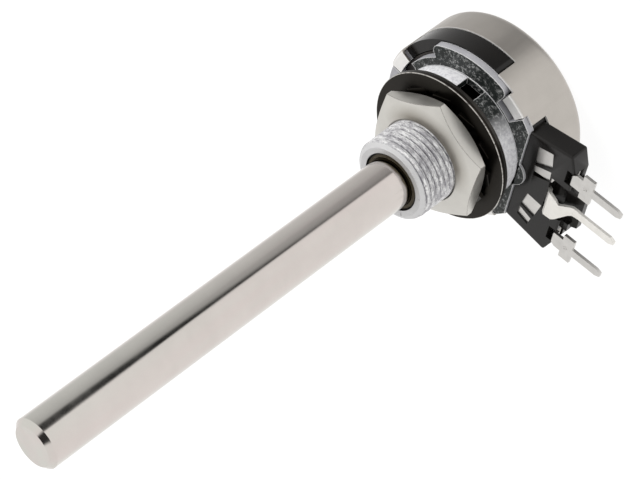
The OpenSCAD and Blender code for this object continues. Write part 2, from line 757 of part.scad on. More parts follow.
shaft();
bush_plate();
hex_nut();
tooth_washer();
flat_washer();
cover();
moulded_base();
track_wafer();
carbon_track();
collector_ring();
terminal_left();
terminal_centre();
terminal_right();
rivet_left();
rivet_centre();
rivet_right();
rotor();
wiper_spring();
retaining_clip();
thrust_washer();
dished_washer();
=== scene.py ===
# A rotary potentiometer with a long plain shaft, dressed piece by piece over its fixed frame.
import math

import bpy
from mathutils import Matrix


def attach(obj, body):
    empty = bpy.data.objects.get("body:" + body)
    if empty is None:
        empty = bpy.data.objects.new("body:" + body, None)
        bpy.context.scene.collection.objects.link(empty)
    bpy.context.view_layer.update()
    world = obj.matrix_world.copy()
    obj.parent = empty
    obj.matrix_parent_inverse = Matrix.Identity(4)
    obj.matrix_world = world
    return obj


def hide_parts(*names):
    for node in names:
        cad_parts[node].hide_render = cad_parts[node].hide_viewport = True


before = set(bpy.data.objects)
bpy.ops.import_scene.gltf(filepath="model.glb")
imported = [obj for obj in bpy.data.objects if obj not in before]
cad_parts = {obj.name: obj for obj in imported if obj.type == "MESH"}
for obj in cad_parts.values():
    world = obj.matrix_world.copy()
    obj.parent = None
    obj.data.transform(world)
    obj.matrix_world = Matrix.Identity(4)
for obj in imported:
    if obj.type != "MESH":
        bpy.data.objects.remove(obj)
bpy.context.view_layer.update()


# Shaft
# A ground steel rod, turned to length, chamfered at its end and nickel plated all over.
# The plating leaves a soft, slightly warm sheen with a faint lengthways grain.
mm = 0.001  # one millimetre in Blender's metres


def turned(name, section, start=0, sweep=360, steps=128):
    """Spins a wall section, given as radius and height in mm, round the shaft's axis."""
    bpy.ops.object.select_all(action="DESELECT")
    whole = sweep == 360
    bpy.ops.mesh.primitive_circle_add(
        vertices=len(section), radius=mm, fill_type="NOTHING" if whole else "NGON"
    )
    piece = bpy.context.object
    piece.name = name
    turn = math.radians(start)
    for point, (radius, height) in zip(piece.data.vertices, section):
        point.co = (radius * mm * math.cos(turn), radius * mm * math.sin(turn), height * mm)
    bpy.ops.object.mode_set(mode="EDIT")
    bpy.ops.mesh.select_all(action="SELECT")
    bpy.ops.mesh.spin(
        steps=steps, angle=-math.radians(sweep), center=(0, 0, 0), axis=(0, 0, 1)
    )
    bpy.ops.mesh.select_all(action="SELECT")
    bpy.ops.mesh.remove_doubles(threshold=0.001 * mm)
    bpy.ops.mesh.delete_loose()
    bpy.ops.mesh.select_all(action="SELECT")
    bpy.ops.mesh.normals_make_consistent(inside=False)
    bpy.ops.object.mode_set(mode="OBJECT")
    return piece


def block(low, high):
    """A box between two corners in mm."""
    bpy.ops.object.select_all(action="DESELECT")
    middle = [(a + b) / 2 * mm for a, b in zip(low, high)]
    bpy.ops.mesh.primitive_cube_add(size=1, location=middle)
    piece = bpy.context.object
    piece.scale = [(b - a) * mm for a, b in zip(low, high)]
    bpy.ops.object.transform_apply(location=True, rotation=True, scale=True)
    return piece


def carve(piece, tool, operation="DIFFERENCE"):
    """Cuts a piece with a tool, or joins or intersects the two, and clears the tool away."""
    bpy.ops.object.select_all(action="DESELECT")
    bpy.context.view_layer.objects.active = piece
    piece.select_set(True)
    step = piece.modifiers.new("carve", "BOOLEAN")
    step.operation = operation
    step.solver = "EXACT"
    step.object = tool
    bpy.ops.object.modifier_apply(modifier=step.name)
    bpy.data.objects.remove(tool)


def soften(piece, width, segments=2, angle=30):
    """Breaks a piece's sharp edges by a width in mm, with its flats kept flat."""
    bpy.ops.object.select_all(action="DESELECT")
    bpy.context.view_layer.objects.active = piece
    piece.select_set(True)
    bpy.ops.object.shade_smooth_by_angle(angle=math.radians(angle))
    edge = piece.modifiers.new("edge", "BEVEL")
    edge.harden_normals = True
    edge.width = width * mm
    edge.segments = segments
    edge.limit_method = "ANGLE"
    edge.angle_limit = math.radians(angle)
    bpy.ops.object.modifier_apply(modifier=edge.name)


# Its foot is a tenon with two flats for the rotor, riveted over at the end, and a groove above
# the tenon takes the clip.
shaft_radius, shaft_end, chamfer = 3, 73, 0.58
tenon_foot, tenon_top, tenon_flat = 1.9, 5.5, 1.8
groove_radius, groove_low, groove_high = 2.5, 8.6, 9
shaft = turned("shaft_rod", [
    (0, 1.4), (2.7, 1.4), (2.7, tenon_foot), (2.4, tenon_foot), (2.4, tenon_top),
    (shaft_radius, tenon_top), (shaft_radius, groove_low), (groove_radius, groove_low),
    (groove_radius, groove_high), (shaft_radius, groove_high),
    (shaft_radius, shaft_end - chamfer), (shaft_radius - chamfer, shaft_end), (0, shaft_end)])
for side in (1, -1):
    near, far = sorted((tenon_flat * side, 3.5 * side))
    carve(shaft, block((near, -4, tenon_foot), (far, 4, tenon_top)))
soften(shaft, 0.06)


def srgb(code):
    """A colour written as sRGB hex, turned to linear."""
    parts = [int(code[i : i + 2], 16) / 255 for i in (1, 3, 5)]
    return (*[p / 12.92 if p <= 0.04045 else ((p + 0.055) / 1.055) ** 2.4 for p in parts], 1)


def node(owner, kind, values=None, **settings):
    """Adds one node with its settings, its values and its links."""
    made = owner.node_tree.nodes.new(kind)
    for name, value in settings.items():
        setattr(made, name, value)
    for socket, value in (values or {}).items():
        if isinstance(value, bpy.types.NodeSocket):
            owner.node_tree.links.new(value, made.inputs[socket])
        else:
            made.inputs[socket].default_value = value
    return made


def empty_material(name):
    """A material with no nodes yet."""
    made = bpy.data.materials.new(name)
    made.use_nodes = True
    made.node_tree.nodes.clear()
    return made


def coat(material, values, relief=None):
    """Closes a material with its shader, over a relief of height, strength and depth in mm."""
    if relief:
        height, strength, depth = relief
        bump = node(material, "ShaderNodeBump",
                    {"Height": height, "Strength": strength, "Distance": depth * mm})
        values = {**values, "Normal": bump.outputs[0]}
    surface = node(material, "ShaderNodeBsdfPrincipled", values)
    node(material, "ShaderNodeOutputMaterial", {"Surface": surface.outputs[0]})


def give(piece, material, body, replaced=None):
    """Gives a piece its material, the body it moves with and the CAD node it stands for."""
    piece.data.materials.clear()
    piece.data.materials.append(material)
    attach(piece, body)
    if replaced:
        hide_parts(replaced)


# Bright nickel over ground steel: metallic grey with a fine grain along the rod, and faint green
# and pink clouding where the plating's thickness changes. Grease darkens it in the bush's mouth.
nickel_steel = empty_material("nickel_plated_ground_steel")
place = node(nickel_steel, "ShaderNodeTexCoord").outputs["Object"]
along = node(nickel_steel, "ShaderNodeMapping", {"Vector": place, "Scale": (1, 1, 0.03)})
grain = node(nickel_steel, "ShaderNodeTexNoise",
             {"Vector": along.outputs[0], "Scale": 5000, "Detail": 3}).outputs["Fac"]
cloud = node(nickel_steel, "ShaderNodeTexNoise",
             {"Vector": place, "Scale": 260, "Detail": 4, "Roughness": 0.6}).outputs["Fac"]
blush = node(nickel_steel, "ShaderNodeTexNoise",
             {"Vector": along.outputs[0], "Scale": 420, "Detail": 3}).outputs["Fac"]
blush = node(nickel_steel, "ShaderNodeMapRange",
             {"Value": blush, "From Min": 0.35, "From Max": 0.65}).outputs[0]
cool = node(nickel_steel, "ShaderNodeMix", {0: cloud, 6: srgb("#cbcac4"), 7: srgb("#dbd9d3")},
            data_type="RGBA").outputs[2]
warm = node(nickel_steel, "ShaderNodeMix", {0: cloud, 6: srgb("#cec6c2"), 7: srgb("#ded6d2")},
            data_type="RGBA").outputs[2]
plated = node(nickel_steel, "ShaderNodeMix", {0: blush, 6: cool, 7: warm},
              data_type="RGBA").outputs[2]
film = node(nickel_steel, "ShaderNodeMix", {0: cloud, 6: srgb("#4d463a"), 7: srgb("#7d7462")},
            data_type="RGBA").outputs[2]
height = node(nickel_steel, "ShaderNodeSeparateXYZ", {"Vector": place}).outputs["Z"]
smear = node(nickel_steel, "ShaderNodeTexNoise",
             {"Vector": place, "Scale": 500, "Detail": 4, "Roughness": 0.65}).outputs["Fac"]
smear = node(nickel_steel, "ShaderNodeMath", {0: smear, 1: -0.9 * mm, 2: height},
             operation="MULTIPLY_ADD").outputs[0]
greased = node(nickel_steel, "ShaderNodeMapRange",
               {"Value": smear, "From Min": 20.35 * mm, "From Max": 20.1 * mm}).outputs[0]
tone = node(nickel_steel, "ShaderNodeMix", {0: greased, 6: plated, 7: film},
            data_type="RGBA").outputs[2]
rough = node(nickel_steel, "ShaderNodeMapRange",
             {"Value": cloud, "From Min": 0.3, "From Max": 0.7, "To Min": 0.1, "To Max": 0.16})
coat(nickel_steel, {"Base Color": tone, "Metallic": 1, "Roughness": rough.outputs[0]},
     (grain, 0.25, 0.004))
give(shaft, nickel_steel, "spindle", "shaft")


# Casting
# Flange, drum and front plate are one zinc die casting. It is left bare, so the flange's front
# stays dark and grainy, while its sharp edges are painted bright, a painted highlight.
def both(start, end):
    """An arc and its mirror image across the part's middle."""
    return [(start, end), (180 - end, 180 - start)]


def arc_block(inner, outer, start, end, low, high):
    """A block between two radii, two angles and two heights."""
    section = [(inner, low), (outer, low), (outer, high), (inner, high)]
    return turned("tool", section, start, end - start, max(4, round((end - start) / 3)))


# The flange is cut straight over the terminal block and stepped in beside the upper tabs. Each of
# the cover's four tabs lies in a shallow bed, with a slot through the flange at its inner end.
flange_radius, flange_back, flange_front, flange_cut = 10.75, 7.4, 8.3, -8.35
relief_start, relief_end, lobe_start = 37, 67.4, -24.2
tab_middles, bed_half = (-32.7, 73.5), 8.48
flange = turned("flange", [(7.4, flange_back), (flange_radius, flange_back),
                           (flange_radius, flange_front), (7.4, flange_front)])
carve(flange, block((-12, -20, 7), (12, flange_cut, 9)))
for start, end in both(relief_start, relief_end):
    carve(flange, arc_block(9.2, 12, start, end, 7, 9))
for middle in tab_middles:
    for start, end in both(middle - bed_half, middle + bed_half):
        carve(flange, arc_block(9.4, 11.6, start, end, 8, 9.4))
        carve(flange, arc_block(8.45, 9.6, start, end, 6.4, 9.8))

# The four corners of the side lobes are rounded: what stands outside a round post is cut away.
post_radius, post_reach = 0.9, 9.85
for end, inwards in ((relief_start, -1), (lobe_start, 1)):
    middle = end + inwards * math.degrees(math.asin(post_radius / post_reach))
    for side in (1, -1):
        low, high = sorted((end - 0.6 * inwards, middle))
        corner = arc_block(post_reach, 11.4, low if side == 1 else 180 - high,
                           high if side == 1 else 180 - low, 7, 9)
        bpy.ops.mesh.primitive_cylinder_add(
            vertices=64, radius=post_radius * mm, depth=4 * mm, location=(
                side * post_reach * mm * math.cos(math.radians(middle)),
                post_reach * mm * math.sin(math.radians(middle)), 8 * mm))
        carve(corner, bpy.context.object)
        carve(flange, corner)

# The drum is a thin wall behind its front plate, slotted in each side. A low round lug stands on
# the flange over the middle terminal.
drum_radius, drum_front, plate_back, bush_bore = 8.2, 11, 9.8, 3.03
casting = turned("casting", [(bush_bore, plate_back), (7.3, plate_back), (7.3, 7.42),
                             (drum_radius, 7.42), (drum_radius, drum_front),
                             (bush_bore, drum_front)])
for start, end in both(-12, 6):
    carve(casting, arc_block(6.9, 8.7, start, end, 8.4, 10.5))
carve(casting, flange, "UNION")
bpy.ops.mesh.primitive_cylinder_add(vertices=48, radius=1.8 * mm, depth=0.3 * mm,
                                    location=(0, -7.6 * mm, 8.15 * mm))
lug = bpy.context.object
bpy.ops.object.transform_apply(location=True, rotation=True, scale=True)
carve(casting, lug, "UNION")
soften(casting, 0.1, 3)


def reach_from_axis(owner, place):
    """How far a point lies from the shaft's axis."""
    level = node(owner, "ShaderNodeVectorMath", {0: place, 1: (1, 1, 0)}, operation="MULTIPLY")
    return node(owner, "ShaderNodeVectorMath", {0: level.outputs[0]},
                operation="LENGTH").outputs["Value"]


# Bare die-cast zinc: pale matte metal with a coarse skin. Front faces keep a dark, greenish,
# speckled oxide. One stretch of the drum wall is drawn in the same dark speckled tone, and the
# drum's inside and its slots are painted near black, painted shade. The drum's wall is painted
# palest, a painted highlight, and sharp edges are painted bright, a painted highlight. The speckle
# is drawn coarser than it is, 0.4 mm wide.
cast_zinc = empty_material("bare_die_cast_zinc")
place = node(cast_zinc, "ShaderNodeTexCoord").outputs["Object"]
skin = node(cast_zinc, "ShaderNodeTexNoise",
            {"Vector": place, "Scale": 3600, "Detail": 4, "Roughness": 0.7}).outputs["Fac"]
patch = node(cast_zinc, "ShaderNodeTexNoise",
             {"Vector": place, "Scale": 2600, "Detail": 5, "Roughness": 0.75}).outputs["Fac"]
cloud = node(cast_zinc, "ShaderNodeTexNoise",
             {"Vector": place, "Scale": 350, "Detail": 3}).outputs["Fac"]
true_normal = node(cast_zinc, "ShaderNodeNewGeometry").outputs["Normal"]
facing = node(cast_zinc, "ShaderNodeSeparateXYZ", {"Vector": true_normal}).outputs["Z"]
front = node(cast_zinc, "ShaderNodeMapRange",
             {"Value": facing, "From Min": 0.6, "From Max": 0.95}).outputs[0]
axes = node(cast_zinc, "ShaderNodeSeparateXYZ", {"Vector": place})
height = axes.outputs["Z"]
side_x = node(cast_zinc, "ShaderNodeMath", {0: axes.outputs["X"]},
              operation="ABSOLUTE").outputs[0]
turn = node(cast_zinc, "ShaderNodeMath", {0: axes.outputs["Y"], 1: side_x},
            operation="ARCTAN2").outputs[0]
drum_wall = node(cast_zinc, "ShaderNodeMath", {0: height, 1: 8.4 * mm},
                 operation="GREATER_THAN").outputs[0]
# One stretch of the drum wall, about 13 to 30 degrees below its side, is drawn in the dark speckled
# tone.
stretch_start = node(cast_zinc, "ShaderNodeMapRange",
                 {"Value": turn, "From Min": math.radians(-4),
                  "From Max": math.radians(-13)}).outputs[0]
stretch_end = node(cast_zinc, "ShaderNodeMapRange",
                 {"Value": turn, "From Min": math.radians(-52),
                  "From Max": math.radians(-30)}).outputs[0]
flange_level = node(cast_zinc, "ShaderNodeMath", {0: height, 1: 8.6 * mm},
                    operation="LESS_THAN").outputs[0]
oxide = node(cast_zinc, "ShaderNodeMath", {0: front, 1: flange_level},
             operation="MULTIPLY").outputs[0]
below_top = node(cast_zinc, "ShaderNodeMapRange",
                 {"Value": turn, "From Min": math.radians(81),
                  "From Max": math.radians(78)}).outputs[0]
oxide = node(cast_zinc, "ShaderNodeMath", {0: oxide, 1: below_top}, operation="MULTIPLY").outputs[0]
# Sharp edges, found by the rounded normal, are painted pale: a painted highlight.
rounded = node(cast_zinc, "ShaderNodeBevel", {"Radius": 0.14 * mm}, samples=6).outputs[0]
turned_away = node(cast_zinc, "ShaderNodeVectorMath", {0: rounded, 1: true_normal},
                   operation="DOT_PRODUCT").outputs["Value"]
painted_edge_highlight = node(cast_zinc, "ShaderNodeMapRange",
               {"Value": turned_away, "From Min": 0.995, "From Max": 0.9}).outputs[0]
spots = node(cast_zinc, "ShaderNodeMapRange",
             {"Value": patch, "From Min": 0.52, "From Max": 0.67}).outputs[0]
dark_stretch = node(cast_zinc, "ShaderNodeMath", {0: stretch_start, 1: stretch_end},
             operation="MULTIPLY").outputs[0]
dark_stretch = node(cast_zinc, "ShaderNodeMath", {0: dark_stretch, 1: drum_wall},
             operation="MULTIPLY").outputs[0]
rim_tone = node(cast_zinc, "ShaderNodeMix", {0: cloud, 6: srgb("#8e8e93"), 7: srgb("#bcbcc0")},
                data_type="RGBA").outputs[2]
mottle = node(cast_zinc, "ShaderNodeMapRange",
              {"Value": patch, "From Min": 0.4, "From Max": 0.56}).outputs[0]
# The drum's wall above 8.4 mm is painted paler than the rim below it: a painted highlight.
lit_drum_tone = node(cast_zinc, "ShaderNodeMix", {0: mottle, 6: srgb("#dcdce0"), 7: srgb("#f7f7f9")},
                 data_type="RGBA").outputs[2]
light = node(cast_zinc, "ShaderNodeMix", {0: drum_wall, 6: rim_tone, 7: lit_drum_tone},
             data_type="RGBA").outputs[2]
dark = node(cast_zinc, "ShaderNodeMix", {0: spots, 6: srgb("#222625"), 7: srgb("#a9aaa9")},
            data_type="RGBA").outputs[2]
tone = node(cast_zinc, "ShaderNodeMix", {0: oxide, 6: light, 7: dark},
            data_type="RGBA").outputs[2]
tone = node(cast_zinc, "ShaderNodeMix", {0: dark_stretch, 6: tone, 7: dark}, data_type="RGBA").outputs[2]
reach = reach_from_axis(cast_zinc, place)
# The drum's inside and the walls of its slots are painted near black: painted shade.
slot_shade = node(cast_zinc, "ShaderNodeMath", {0: reach, 1: 8.1 * mm},
               operation="LESS_THAN").outputs[0]
slot_shade = node(cast_zinc, "ShaderNodeMath", {0: slot_shade, 1: drum_wall},
               operation="MULTIPLY").outputs[0]
tone = node(cast_zinc, "ShaderNodeMix", {0: slot_shade, 6: tone, 7: srgb("#222625")},
            data_type="RGBA").outputs[2]
tone = node(cast_zinc, "ShaderNodeMix", {0: painted_edge_highlight, 6: tone, 7: srgb("#efefef")},
            data_type="RGBA").outputs[2]
coat(cast_zinc, {"Base Color": tone, "Metallic": 0.35, "Roughness": 0.45}, (skin, 0.6, 0.03))
give(casting, cast_zinc, "housing", "bush_plate")


# Threaded bush
# The bush stands on the same casting. Its M10 x 0.75 thread was cut with a single-point tool, so
# the crests are torn; their bright flakes are painted glints. The mouth is bored wider round the
# shaft, and grease fills it.
def choose_edges(piece, wanted):
    """Selects the edges whose two ends pass a test, and leaves the piece in edit mode."""
    bpy.ops.object.mode_set(mode="EDIT")
    bpy.ops.mesh.select_mode(type="EDGE")
    bpy.ops.mesh.select_all(action="DESELECT")
    bpy.ops.object.mode_set(mode="OBJECT")
    for edge in piece.data.edges:
        edge.select = wanted(*[piece.data.vertices[i].co for i in edge.vertices])
    bpy.ops.object.mode_set(mode="EDIT")


# One tooth's outline, with a groove torn along its crest, is wound up as a helix from below the
# bush's foot, and cut level at both ends.
pitch, helix_start, bush_foot, bush_end = 0.75, 9.9, 10.9, 20
tooth = [(4.7, 0), (4.7, 0.04), (4.91, 0.17), (4.99, 0.27), (4.98, 0.34), (4.91, 0.39),
         (4.98, 0.44), (4.99, 0.52), (4.91, 0.61), (4.7, pitch)]
bpy.ops.object.select_all(action="DESELECT")
bpy.ops.mesh.primitive_circle_add(vertices=len(tooth), radius=mm)
bush = bpy.context.object
bush.name = "bush_thread"
for point, (radius, height) in zip(bush.data.vertices, tooth):
    point.co = (radius * mm, 0, (helix_start + height) * mm)
choose_edges(bush, lambda a, b: abs(a.z - b.z) > 0.9 * pitch * mm)
bpy.ops.mesh.delete(type="EDGE")
bpy.ops.mesh.select_mode(type="VERT")
bpy.ops.object.mode_set(mode="OBJECT")
helix = bush.modifiers.new("helix", "SCREW")
helix.screw_offset = pitch * mm
helix.iterations = 15
helix.steps = helix.render_steps = 96
helix.use_merge_vertices = True
helix.merge_threshold = 0.001 * mm
bpy.ops.object.modifier_apply(modifier=helix.name)
bpy.ops.object.mode_set(mode="EDIT")
for height, drop_above in ((bush_end, True), (bush_foot, False)):
    bpy.ops.mesh.select_all(action="SELECT")
    bpy.ops.mesh.bisect(plane_co=(0, 0, height * mm), plane_no=(0, 0, 1),
                        clear_outer=drop_above, clear_inner=not drop_above)
bpy.ops.mesh.select_all(action="SELECT")
bpy.ops.mesh.remove_doubles(threshold=0.001 * mm)
bpy.ops.object.mode_set(mode="OBJECT")

# The end is chamfered, and its open rim is led over the end ring, in over the grease and down the
# bore.
for point in bush.data.vertices:
    radius = point.co.xy.length
    limit = (4.32 + 1.5 * max(0, bush_end - point.co.z / mm)) * mm
    if radius > limit:
        point.co.x *= limit / radius
        point.co.y *= limit / radius
    point.select = point.co.z > 19.999 * mm
bpy.ops.object.mode_set(mode="EDIT")
for radius, height in ((3.62, bush_end), (3.54, 19.82), (3.05, 19.92), (3.05, 11)):
    bpy.ops.mesh.extrude_region_move()
    bpy.ops.object.mode_set(mode="OBJECT")
    for point in bush.data.vertices:
        if point.select:
            turn = math.atan2(point.co.y, point.co.x)
            point.co = (radius * mm * math.cos(turn), radius * mm * math.sin(turn), height * mm)
    bpy.ops.object.mode_set(mode="EDIT")
bpy.ops.mesh.select_all(action="SELECT")
bpy.ops.mesh.normals_make_consistent(inside=False)
bpy.ops.object.mode_set(mode="OBJECT")
bpy.ops.object.shade_smooth_by_angle(angle=math.radians(25))

# Turned zinc: pale neutral grey metal, its crests torn in short streaks round the thread with
# bright flakes, which are painted glints, and dark pits, drawn coarser than they are, 0.4 to 1 mm
# long. The roots are painted darker, painted shade. The end ring is pale and rough. Grease stands
# grey-brown in the mouth, nearly level with its end, and where it meets the step at its edge it is
# painted black, painted shade.
turned_zinc = empty_material("turned_zinc_thread")
place = node(turned_zinc, "ShaderNodeTexCoord").outputs["Object"]
axes = node(turned_zinc, "ShaderNodeSeparateXYZ", {"Vector": place})
turn = node(turned_zinc, "ShaderNodeMath", {0: axes.outputs["Y"], 1: axes.outputs["X"]},
            operation="ARCTAN2").outputs[0]
reach = reach_from_axis(turned_zinc, place)
round_it = node(turned_zinc, "ShaderNodeMath", {0: turn, 1: 2.4 * mm},
                operation="MULTIPLY").outputs[0]
up_it = node(turned_zinc, "ShaderNodeMath", {0: axes.outputs["Z"], 1: 1.8},
             operation="MULTIPLY").outputs[0]
unrolled = node(turned_zinc, "ShaderNodeCombineXYZ",
                {"X": round_it, "Y": up_it, "Z": reach}).outputs[0]
tear = node(turned_zinc, "ShaderNodeTexNoise",
            {"Vector": unrolled, "Scale": 5200, "Detail": 5, "Roughness": 0.8}).outputs["Fac"]
flake = node(turned_zinc, "ShaderNodeTexNoise",
             {"Vector": unrolled, "Scale": 1900, "Detail": 4, "Roughness": 0.7}).outputs["Fac"]
ragged = node(turned_zinc, "ShaderNodeMath", {0: tear, 1: 0.7 * mm, 2: reach},
              operation="MULTIPLY_ADD").outputs[0]
crest = node(turned_zinc, "ShaderNodeMapRange",
             {"Value": ragged, "From Min": 5.05 * mm, "From Max": 5.2 * mm}).outputs[0]
# Bright flakes on the crests are painted glints.
painted_highlight = node(turned_zinc, "ShaderNodeMapRange",
            {"Value": flake, "From Min": 0.4, "From Max": 0.6}).outputs[0]
pitted = node(turned_zinc, "ShaderNodeMapRange",
              {"Value": tear, "From Min": 0.43, "From Max": 0.36}).outputs[0]
frayed = node(turned_zinc, "ShaderNodeMath", {0: tear, 1: 0.5 * mm, 2: axes.outputs["Z"]},
              operation="MULTIPLY_ADD").outputs[0]
end_ring = node(turned_zinc, "ShaderNodeMapRange",
                {"Value": frayed, "From Min": 19.82 * mm, "From Max": 19.95 * mm}).outputs[0]
inside = node(turned_zinc, "ShaderNodeMath", {0: reach, 1: 3.61 * mm},
              operation="LESS_THAN").outputs[0]
# Where the grease meets the mouth's step it is painted black: painted shade.
greasy = node(turned_zinc, "ShaderNodeMapRange",
              {"Value": reach, "From Min": 3.45 * mm, "From Max": 3.36 * mm}).outputs[0]
bore = node(turned_zinc, "ShaderNodeMix", {0: greasy, 6: srgb("#15110e"), 7: srgb("#665d4d")},
            data_type="RGBA").outputs[2]
raised = node(turned_zinc, "ShaderNodeMix", {0: painted_highlight, 6: srgb("#a8a7ab"), 7: srgb("#ececec")},
              data_type="RGBA").outputs[2]
raised = node(turned_zinc, "ShaderNodeMix", {0: pitted, 6: raised, 7: srgb("#6b696e")},
              data_type="RGBA").outputs[2]
# The thread's roots are painted darker than its crests: painted shade.
tone = node(turned_zinc, "ShaderNodeMix", {0: crest, 6: srgb("#77757b"), 7: raised},
            data_type="RGBA").outputs[2]
tone = node(turned_zinc, "ShaderNodeMix", {0: end_ring, 6: tone, 7: srgb("#cdcdce")},
            data_type="RGBA").outputs[2]
tone = node(turned_zinc, "ShaderNodeMix", {0: inside, 6: tone, 7: bore},
            data_type="RGBA").outputs[2]
coat(turned_zinc, {"Base Color": tone, "Metallic": 0.6, "Roughness": 0.36}, (tear, 1, 0.07))
give(bush, turned_zinc, "housing", "bush_plate")


# Hexagon nut
# A thin hexagon nut, stamped and chamfered on both faces, then nickel plated. The chamfers
# leave a curved line on each flat.
def punched(name, outline, low, high, across="Z"):
    """A flat outline in mm made into a plate between two heights, or two places along X."""
    bpy.ops.object.select_all(action="DESELECT")
    bpy.ops.mesh.primitive_circle_add(vertices=len(outline), radius=mm, fill_type="NGON")
    piece = bpy.context.object
    piece.name = name
    for point, (a, b) in zip(piece.data.vertices, outline):
        point.co = (a * mm, b * mm, low * mm) if across == "Z" else (low * mm, a * mm, b * mm)
    rise = (0, 0, (high - low) * mm) if across == "Z" else ((high - low) * mm, 0, 0)
    bpy.ops.object.mode_set(mode="EDIT")
    bpy.ops.mesh.select_all(action="SELECT")
    bpy.ops.mesh.extrude_region_move(TRANSFORM_OT_translate={"value": rise})
    bpy.ops.mesh.select_all(action="SELECT")
    bpy.ops.mesh.normals_make_consistent(inside=False)
    bpy.ops.object.mode_set(mode="OBJECT")
    return piece


across_flats = 14
half_corner = across_flats / 2 / math.cos(math.radians(30))
corners = [math.radians(60 * i) for i in range(6)]
hexagon = [(half_corner * math.cos(corner), half_corner * math.sin(corner)) for corner in corners]
nut = turned("nut", [(4.78, 12.54), (6.9, 12.54), (8.3, 13.35), (8.3, 13.81), (7.1, 14.5),
                     (6.6, 14.77), (6.2, 14.95), (5.8, 15.08), (5.15, 15.14), (4.78, 14.8)])
carve(nut, punched("tool", hexagon, 12, 16), "INTERSECT")
soften(nut, 0.06, 2, 20)

# Satin nickel plating over a stamped nut: pale grey with a slight warmth, dulled and uneven, with
# a fine dark line painted along its sharp edges, painted shade. On one side of the front face a
# band round the thread is painted darker, a painted reflection of the bush.
satin_nickel = empty_material("satin_nickel_plate")
place = node(satin_nickel, "ShaderNodeTexCoord").outputs["Object"]
cloud = node(satin_nickel, "ShaderNodeTexNoise",
             {"Vector": place, "Scale": 420, "Detail": 5, "Roughness": 0.6}).outputs["Fac"]
fine = node(satin_nickel, "ShaderNodeTexNoise",
            {"Vector": place, "Scale": 5200, "Detail": 3}).outputs["Fac"]
plated = node(satin_nickel, "ShaderNodeMix", {0: cloud, 6: srgb("#c2c0bb"), 7: srgb("#dcdad4")},
              data_type="RGBA").outputs[2]
rounded = node(satin_nickel, "ShaderNodeBevel", {"Radius": 0.12 * mm}, samples=6).outputs[0]
true_normal = node(satin_nickel, "ShaderNodeNewGeometry").outputs["Normal"]
turned_away = node(satin_nickel, "ShaderNodeVectorMath", {0: rounded, 1: true_normal},
                   operation="DOT_PRODUCT").outputs["Value"]
# A fine dark line along the sharp edges is painted shade.
painted_edge_shade = node(satin_nickel, "ShaderNodeMapRange",
            {"Value": turned_away, "From Min": 0.995, "From Max": 0.96, "To Max": 0.8}).outputs[0]
axes = node(satin_nickel, "ShaderNodeSeparateXYZ", {"Vector": place})
turn = node(satin_nickel, "ShaderNodeMath", {0: axes.outputs["Y"], 1: axes.outputs["X"]},
            operation="ARCTAN2").outputs[0]
reach = reach_from_axis(satin_nickel, place)
# A band round the thread on one side of the front face is painted darker: a painted reflection of
# the bush.
thread_reflection_masks = [
    node(satin_nickel, "ShaderNodeMapRange",
         {"Value": value, "From Min": low, "From Max": high, "To Max": most}).outputs[0]
    for value, low, high, most in (
        (turn, math.radians(72), math.radians(30), 1),
        (turn, math.radians(-95), math.radians(-60), 1),
        (reach, 6.9 * mm, 5.6 * mm, 0.8))
]
thread_reflection = node(satin_nickel, "ShaderNodeMath", {0: thread_reflection_masks[0], 1: thread_reflection_masks[1]},
             operation="MULTIPLY").outputs[0]
thread_reflection = node(satin_nickel, "ShaderNodeMath", {0: thread_reflection, 1: thread_reflection_masks[2]},
             operation="MULTIPLY").outputs[0]
plated = node(satin_nickel, "ShaderNodeMix", {0: thread_reflection, 6: plated, 7: srgb("#8d877c")},
              data_type="RGBA").outputs[2]
tone = node(satin_nickel, "ShaderNodeMix", {0: painted_edge_shade, 6: plated, 7: srgb("#5c5953")},
            data_type="RGBA").outputs[2]
rough = node(satin_nickel, "ShaderNodeMapRange",
             {"Value": cloud, "From Min": 0.3, "From Max": 0.7, "To Min": 0.3, "To Max": 0.4})
coat(satin_nickel, {"Base Color": tone, "Metallic": 0.93, "Roughness": rough.outputs[0]},
     (fine, 0.08, 0.01))
give(nut, satin_nickel, "housing", "hex_nut")


# Tooth washer
# Spring steel, blackened, with twelve inner teeth twisted out of its plane to bite under the nut.
# Its rim's front edge is painted bright in patches, a painted highlight.
tooth_count, tooth_twist, first_tooth = 12, 14, 8.5
ring_back, ring_front = 11.5, 12
ring = turned("tooth_ring", [(7.15, ring_back), (9.25, ring_back),
                             (9.25, ring_front), (7.15, ring_front)])
first = block((5.15, -1.15, -0.25), (7.45, 1.15, 0.25))
bpy.ops.object.mode_set(mode="EDIT")
bpy.ops.mesh.select_all(action="SELECT")
bpy.ops.transform.rotate(value=-math.radians(tooth_twist), orient_axis="X",
                         center_override=(0, 0, 0))
bpy.ops.transform.translate(value=(0, 0, 12.02 * mm))
bpy.ops.object.mode_set(mode="OBJECT")
teeth = [first]
for i in range(1, tooth_count):
    copy = first.copy()
    copy.data = first.data.copy()
    bpy.context.collection.objects.link(copy)
    copy.rotation_euler.z = math.radians(360 / tooth_count * i + first_tooth)
    teeth.append(copy)
first.rotation_euler.z = math.radians(first_tooth)
bpy.ops.object.select_all(action="DESELECT")
for piece in teeth:
    piece.select_set(True)
bpy.context.view_layer.objects.active = first
bpy.ops.object.transform_apply(location=True, rotation=True, scale=True)
ring.select_set(True)
bpy.context.view_layer.objects.active = ring
bpy.ops.object.join()
soften(ring, 0.06)

# Black oxide on spring steel: near black with a low metallic gloss, painted bright in patches along
# the front edge of its rim, a painted highlight.
black_oxide = empty_material("black_oxide_spring_steel")
place = node(black_oxide, "ShaderNodeTexCoord").outputs["Object"]
patch_noise = node(black_oxide, "ShaderNodeTexNoise",
           {"Vector": place, "Scale": 1400, "Detail": 5, "Roughness": 0.7}).outputs["Fac"]
reach = reach_from_axis(black_oxide, place)
